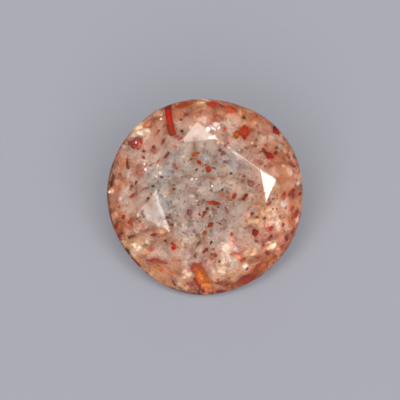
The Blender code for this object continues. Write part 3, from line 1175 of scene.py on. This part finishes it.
veilsAndPaintedFlashes = (
    # upper left: salmon, peach and cream films, painted flashes of light mirrored by the pavilion
    veil(147.5, 124, 0.6, 0.5, 25, "flame salmon", 1, 0.07, flush=True),
    veil(148.5, 126, 0.4, 0.3, 25, "salmon", 0.9, 0.2),
    veil(138.5, 128.5, 0.95, 0.55, 50, "peach peach cream", 1, 0.14),
    veil(139.5, 129.5, 0.9, 0.5, 45, "peach cream cream", 1, 0.2),
    veil(142, 132, 0.8, 0.4, 0, "cream", 0.9, 0.18),
    veil(136, 134, 0.5, 0.36, 20, "cream", 0.9, 0.14),
    veil(149, 134, 0.7, 0.3, -20, "peach", 0.7, 0.4),
    veil(157, 112, 0.7, 0.6, 30, "peach", 0.6, 0.6),
    veil(129, 135, 0.6, 0.3, 55, "brick", 0.7, 0.4),
    veil(136, 143, 0.6, 0.55, 0, "rust", 0.7, 0.6),
    veil(112, 191, 0.2, 0.3, 0, "pink", 0.9, 0.2),
    veil(120, 212, 0.4, 0.6, 10, "brick", 0.4, 0.5),
    veil(126, 225, 0.6, 0.5, 30, "brick", 0.6, 0.5),
    veil(136.5, 246, 0.55, 0.3, -10, "cream", 1, 0.25),
    veil(134, 250, 0.55, 0.34, -10, "pink", 0.7, 0.35),
    veil(147.5, 242, 0.26, 0.34, 30, "cream", 1, 0.25),
    veil(153, 248, 0.44, 0.34, 30, "rose", 0.5, 0.4),
    veil(140, 258, 1, 0.3, -30, "brick", 0.5, 0.5),
    veil(157, 261, 1.2, 0.36, 0, "rust copper rust", 0.9, 0.08, flush=True),
    veil(155, 267, 0.9, 0.3, 5, "orange", 0.5, 0.12, flush=True),
    veil(187, 273, 0.6, 0.6, 0, "cream", 1, 0.3),
    veil(177, 279, 0.7, 0.5, -30, "peach", 0.7, 0.4),
    veil(183, 244, 0.26, 0.38, 30, "cream", 0.7, 0.4),
    veil(199, 270, 0.9, 0.6, -70, "copper amber", 0.8, 0.08, flush=True),
    veil(204.5, 280, 0.7, 0.6, -70, "orange flame", 0.9, 0.08, flush=True),
    veil(206.5, 288, 0.6, 0.5, -70, "flame salmon", 0.9, 0.07, flush=True),
    veil(192, 268, 0.3, 0.5, -10, "scarlet", 0.7, 0.07, flush=True),
    # lower middle: cream, salmon, peach and pearl films, painted flashes of light mirrored by the pavilion
    veil(227, 248.5, 0.42, 0.62, 10, "cream", 0.95, 0.25),
    veil(231, 241, 0.3, 0.6, -25, "salmon pink", 0.9, 0.3),
    veil(229, 257, 0.9, 0.6, -30, "cream pearl", 0.9, 0.35),
    veil(224, 267, 0.9, 0.7, 30, "cream", 0.95, 0.25),
    veil(233, 266, 1, 0.9, 20, "peach cream", 0.8, 0.5),
    veil(243, 263, 0.7, 0.5, -30, "peach", 0.8, 0.4),
    veil(252, 259, 0.8, 0.6, 20, "peach", 0.5, 0.5),
    veil(208, 262, 0.8, 0.5, 20, "pink", 0.5, 0.4),
    veil(176, 262, 0.9, 0.6, 20, "peach", 0.5, 0.5),
    # pearl spots, painted small glints of light
    veil(186, 239, 0.5, 0.4, 20, "pearl", 0.4, 0.3),
    veil(187, 256, 0.4, 0.3, 0, "pearl", 0.5, 0.3),
    veil(245, 266, 0.3, 0.22, 10, "pearl", 1, 0.2),
    veil(237, 255, 0.6, 0.36, -20, "brick", 0.8, 0.35),
    veil(233, 236, 0.24, 0.6, -25, "salmon", 0.7, 0.4),
    veil(243, 281, 1.3, 0.6, 25, "brown bronze rust", 0.9, 0.07, flush=True),
    veil(257, 271, 1.3, 0.6, 45, "rust bronze flame", 1, 0.07, flush=True),
    veil(268, 262, 0.8, 0.4, 52, "copper flame", 0.9, 0.07, flush=True),
    veil(252, 268, 1, 0.3, 30, "salmon", 0.5, 0.2),
    veil(258, 130, 1, 0.7, -30, "tan ash", 0.75, 0.28),
    veil(261, 139, 0.8, 0.5, 20, "ash tan", 0.7, 0.28),
    veil(291, 171, 0.7, 0.55, -65, "bronze copper", 0.85, 0.25),
    # more painted flash over the upper left cream patch
    veil(139.5, 127.5, 0.6, 0.36, 50, "peach", 1, 0.1),
    veil(140.5, 127, 0.6, 0.4, 45, "peach cream", 1, 0.17),
    veil(225, 266, 0.6, 0.5, 10, "peach cream", 0.9, 0.2),
    veil(206.5, 285, 0.5, 0.4, -70, "orange flame", 1, 0.13),
    veil(229, 287, 1.1, 0.5, 12, "bronze amber", 0.9, 0.07, flush=True),
    veil(222, 288, 1, 0.4, 5, "copper", 0.8, 0.4),
    # lower right: peach, cream and salmon films, painted flashes of light mirrored by the pavilion
    veil(271, 245, 0.7, 0.6, 20, "peach cream", 0.95, 0.25),
    veil(278, 250, 0.5, 0.4, 30, "salmon", 0.9, 0.25),
    veil(281, 239, 0.5, 0.7, -20, "salmon pink", 0.7, 0.4),
    veil(276, 222, 0.7, 0.9, 0, "peach cream", 0.9, 0.3),
    veil(282, 213, 0.8, 0.9, 20, "pink peach", 0.55, 0.4),
    veil(276, 203, 0.8, 0.6, 60, "peach", 0.7, 0.4),
    veil(262, 232, 0.9, 0.7, 20, "pink", 0.4, 0.5),
    veil(262, 210, 0.9, 0.7, 20, "peach", 0.4, 0.5),
    veil(297, 219, 0.24, 0.34, 0, "pink", 0.9, 0.2),
    veil(292, 212, 0.6, 0.7, 0, "brick", 0.6, 0.4),
    veil(290, 234, 0.4, 0.8, -25, "rust", 0.6, 0.4),
    veil(285, 200, 0.9, 0.8, 0, "salmon", 0.4, 0.7),
    veil(298, 183, 0.2, 0.22, 0, "pearl", 0.8, 0.2),
    veil(292, 157, 0.5, 0.6, -40, "amber", 0.5, 0.5),
    veil(269, 157, 0.6, 0.5, -20, "rust", 0.5, 0.5),
    veil(252, 143, 0.2, 0.16, 0, "peach", 0.9, 0.2),
    veil(246, 215, 0.3, 0.26, 0, "peach", 0.8, 0.3),
    veil(184, 105, 1.1, 0.45, 18, "brick amber", 0.9, 0.07, flush=True),
    veil(199, 104, 0.8, 0.36, 5, "tan peach", 0.7, 0.07, flush=True),
    veil(214, 104.5, 1, 0.45, -6, "rust brick rust", 0.9, 0.07, flush=True),
    veil(230, 109, 1, 0.45, -20, "rust copper brick", 0.9, 0.07, flush=True),
    veil(218, 118, 0.6, 0.5, -18, "brown copper", 0.7, 0.1, flush=True),
    veil(176, 117, 0.7, 0.4, 30, "copper", 0.5, 0.1, flush=True),
    veil(187, 114, 0.8, 0.4, 20, "brown copper", 0.5, 0.3),
    # pearl spots, painted small glints of light
    veil(216, 124.5, 0.46, 0.24, 15, "pearl", 1, 0.1),
    veil(213, 128, 0.36, 0.2, -50, "pearl", 1, 0.1),
    veil(219, 128, 0.26, 0.16, 60, "pearl", 0.9, 0.1),
    veil(208, 129, 0.22, 0.26, 0, "pearl", 1, 0.1),
    veil(211, 137, 0.6, 0.2, 10, "pearl", 0.9, 0.1),
    veil(216, 138, 0.2, 0.16, 0, "pearl", 0.9, 0.1),
    veil(193, 127, 0.4, 0.3, 30, "pearl", 0.6, 0.1),
    veil(234, 155, 1.1, 0.55, -42, "mist", 0.7, 0.35),
    veil(239, 157, 1.3, 0.14, -41, "pearl", 0.35, 0.2),
    veil(230, 163, 0.7, 0.4, -60, "mist", 0.6, 0.4),
    veil(178, 152, 1.2, 0.44, 62, "mist", 0.4, 0.3),
    veil(168, 172, 1.3, 0.6, 72, "mist", 0.5, 0.3),
    veil(165, 200, 1.5, 0.6, -72, "mist", 0.5, 0.3),
    veil(205, 156, 0.9, 0.24, -68, "mist", 0.7, 0.3),
    veil(190, 190, 0.55, 0.5, 0, "copper", 0.3, 0.3),
    veil(222, 180, 0.9, 0.8, 0, "pink", 0.4, 0.5),
    veil(242, 180, 0.6, 0.5, 10, "plum", 0.25, 0.3),
    veil(237, 190, 0.9, 0.7, 30, "pink peach", 0.5, 0.35),
    veil(204, 184, 0.4, 0.2, 20, "ash", 0.9, 0.25),
    veil(150, 178, 1.2, 0.7, 80, "mist", 0.45, 0.35),
    veil(150, 212, 0.9, 0.7, -60, "mist", 0.3, 0.3),
    veil(137, 262, 1.2, 0.6, -46, "tan peach", 0.75, 0.3),
    veil(150, 271, 1.2, 0.6, -35, "peach tan", 0.8, 0.3),
    veil(166, 281, 1.2, 0.5, -22, "tan peach", 0.8, 0.3),
    veil(181, 287, 0.8, 0.4, -10, "peach", 0.8, 0.3),
    veil(140, 240, 1, 0.6, 30, "peach", 0.5, 0.4),
    veil(127, 246, 0.7, 0.4, -60, "tan", 0.7, 0.25),
    veil(164, 270, 1.4, 0.5, -20, "peach flame", 0.5, 0.4),
    veil(146, 251, 1.2, 0.5, -10, "peach", 0.5, 0.4),
    veil(218, 279, 1.1, 0.5, 0, "peach cream", 0.5, 0.35),
    veil(236, 274, 1, 0.5, 20, "peach", 0.6, 0.35),
    veil(282, 228, 0.8, 1, -10, "pink peach", 0.6, 0.3),
    veil(288, 205, 0.5, 0.9, 0, "salmon", 0.6, 0.3),
    veil(232, 181, 0.5, 0.4, 10, "peach", 0.6, 0.6),
    veil(187, 238, 0.5, 0.4, 10, "ash", 0.5, 0.6),
)


def makeVeils(name, rows):
    whole = bmesh.new()
    for row in rows:
        addFilm(whole, **row)
    finishSealed(whole, name, crackFilmAndPaintedFlash, castsShade=False)


makeVeils("veilsAndPaintedFlashes", veilsAndPaintedFlashes)


# Smudges: little clouds of fine copper all through the crystal, soft-edged, with sizes and how far they
# lie from the stone's axis in millimetres

smudges = {
    "pale": {
        "count": 120, "size": (0.15, 0.5), "reach": (0.0, 3.4), "cover": 0.55,
        "tones": ("peach", "cream", "pink", "tan", "pearl"),
    },
    "table": {
        "count": 200, "size": (0.12, 0.42), "reach": (0.0, 2.1), "cover": 0.55,
        "tones": ("plum", "mist", "olive", "plum", "umber", "brown", "ash", "tan"),
    },
    "crown": {
        "count": 340, "size": (0.15, 0.6), "reach": (2.0, 3.8), "cover": 0.85,
        "tones": ("copper", "rust", "bronze", "brown", "rust", "copper", "tan", "brown", "plum"),
    },
}
smudgeShape = {
    "width": (0.4, 1.0),   # as a share of the length
    "cover": (0.4, 1.1),   # as a share of its kind's
    "depth": (0.15, 0.8),
    "steps": 4,
}


def makeSmudges():
    whole = bmesh.new()
    for kind in smudges.values():
        least, most = (reach * mm / pixelSize for reach in kind["reach"])
        batch = bmesh.new()
        for i in range(kind["count"]):
            away = math.sqrt(random.uniform(least * least, most * most))
            way = random.uniform(0, math.tau)
            at = (
                camera["stoneAt"][0] + away * math.cos(way),
                camera["stoneAt"][1] + away * math.sin(way),
            )
            if isKeptClear(at):
                continue
            length = random.uniform(*kind["size"])
            size = (length, length * random.uniform(*smudgeShape["width"]))
            cover = kind["cover"] * random.uniform(*smudgeShape["cover"])
            depth = random.uniform(*smudgeShape["depth"])
            turn = random.uniform(0, 180)
            tone = random.choice(kind["tones"])
            addFilm(batch, at, size, turn, tone, cover, depth, steps=smudgeShape["steps"])
        pour(batch, whole)
    finishSealed(whole, "smudges", crackFilmAndPaintedFlash, castsShade=False)


makeSmudges()


# Glints: copper platelets and bubbles that lie square to the light, each by the pixel at its middle and
# its length and width in millimetres

glints = (
    (136, 142.5, 0.07, 0.07),
    (144.5, 164, 0.063, 0.056),
    (145.5, 169.5, 0.091, 0.084),
    (158, 165.5, 0.056, 0.056),
    (160.5, 173, 0.056, 0.056),
    (156.5, 177, 0.056, 0.049),
    (138, 216, 0.056, 0.056),
    (192, 179, 0.07, 0.063),
    (196.5, 179, 0.056, 0.056),
    (212, 186, 0.063, 0.056),
    (161, 119, 0.084, 0.07),
    (109.5, 192, 0.084, 0.098),
    (215, 138, 0.084, 0.056),
)
glintLook = {
    "depth": 0.12,
    "dull": "#E8C8B4",
    "bright": "#F6EEE8",
    "spotSize": 0.05 * mm,
    "roughness": 0.45,
}


def bareCopperMaterial():
    # a bare face of copper, bright as a mirror and a little dull in spots
    material, tree = newMaterial("bareCopper")
    place = addNode(tree, "ShaderNodeTexCoord")
    spots = addNode(tree, "ShaderNodeTexNoise", {"Scale": 1 / glintLook["spotSize"]},
                    {"Vector": place.outputs["Object"]})
    colour = addNode(tree, "ShaderNodeMix", {
        "data_type": "RGBA", 6: toLinear(glintLook["dull"]), 7: toLinear(glintLook["bright"]),
    }, {0: spots.outputs[0]})
    shader = addNode(tree, "ShaderNodeBsdfPrincipled", {
        "Metallic": 1.0, "Roughness": glintLook["roughness"],
    }, {"Base Color": colour.outputs[2]})
    addNode(tree, "ShaderNodeOutputMaterial", links={"Surface": shader.outputs[0]})
    return material


def makeGlints():
    whole = bmesh.new()
    for x, y, length, width in glints:
        middle, _, right, up = layFlat((x, y), glintLook["depth"])
        addPlate(whole, middle, right, up, (length * mm, width * mm), "hexagon", "pearl")
    finishSealed(whole, "glints", bareCopperMaterial())


makeGlints()


# Patches: broad soft clouds of fine copper and of cleaner crystal, which set the tone of the ground
# between the platelets, given as the veils are. The cream, pearl and salmon ones are partly painted light:
# pale patches set where the pavilion facets mirror flashes of light

patches = (
    veil(271, 211, 0.6, 1, 0, "peach cream", 0.85, 0.3),
    veil(274, 223, 0.7, 0.6, 40, "pink cream", 1, 0.2),
    veil(292, 223, 0.5, 0.6, 0, "copper", 0.7, 0.15),
    veil(247, 215, 0.5, 0.3, 45, "pink", 0.9, 0.25),
    veil(254, 210, 0.3, 0.4, 20, "pearl", 0.5, 0.3),
    veil(259, 217, 1.4, 1.3, 20, "tan peach", 0.8, 0.45),
    veil(282, 150, 0.8, 0.5, -50, "ash tan", 0.9, 0.2),
    veil(280, 181, 0.7, 1, 0, "umber bronze", 0.9, 0.15),
    veil(235, 249, 0.4, 0.3, -30, "pink pearl", 0.8, 0.3),
    veil(237, 256, 0.5, 0.2, -35, "salmon", 0.8, 0.2),
    veil(200, 214, 0.8, 0.6, 10, "pink", 0.5, 0.5),
    veil(197, 115, 0.8, 0.4, 10, "brown copper", 0.8, 0.2),
    veil(228, 119, 1.1, 0.5, -25, "bronze tan", 0.7, 0.3),
    veil(148, 148, 0.9, 0.8, 20, "rust copper", 0.5, 0.25),
    veil(221, 282, 0.9, 0.4, 5, "bronze brown", 0.7, 0.2),
    veil(161, 224, 0.5, 0.4, 0, "pearl pink", 0.5, 0.25),
    veil(162, 234, 0.8, 0.5, 15, "tan peach", 0.6, 0.3),
    veil(240, 165, 0.9, 0.7, -40, "mist", 0.6, 0.3),
    veil(213, 121, 1, 0.5, -10, "copper bronze", 0.7, 0.3),
    veil(203, 112, 0.8, 0.36, 5, "brown copper", 0.8, 0.14),
    veil(232, 113, 0.8, 0.36, -25, "brick", 0.8, 0.14),
    veil(251, 252, 0.8, 0.6, 10, "peach", 0.8, 0.25),
    veil(141, 224, 0.7, 0.6, 0, "peach pink", 0.7, 0.25),
    veil(231, 184, 0.5, 0.4, 20, "cream", 0.5, 0.3),
)
makeVeils("patches", patches)
bpy.data.meshes.remove(scrap)
print("inclusions made")


# Light goes through many facets and films before it leaves the stone, so its paths may be long

scene = bpy.context.scene
scene.view_settings.view_transform = "Standard"
scene.cycles.max_bounces = 24
scene.cycles.transmission_bounces = 20
scene.cycles.transparent_max_bounces = 256
scene.cycles.diffuse_bounces = 6
scene.cycles.glossy_bounces = 10
scene.cycles.filter_width = 1.6
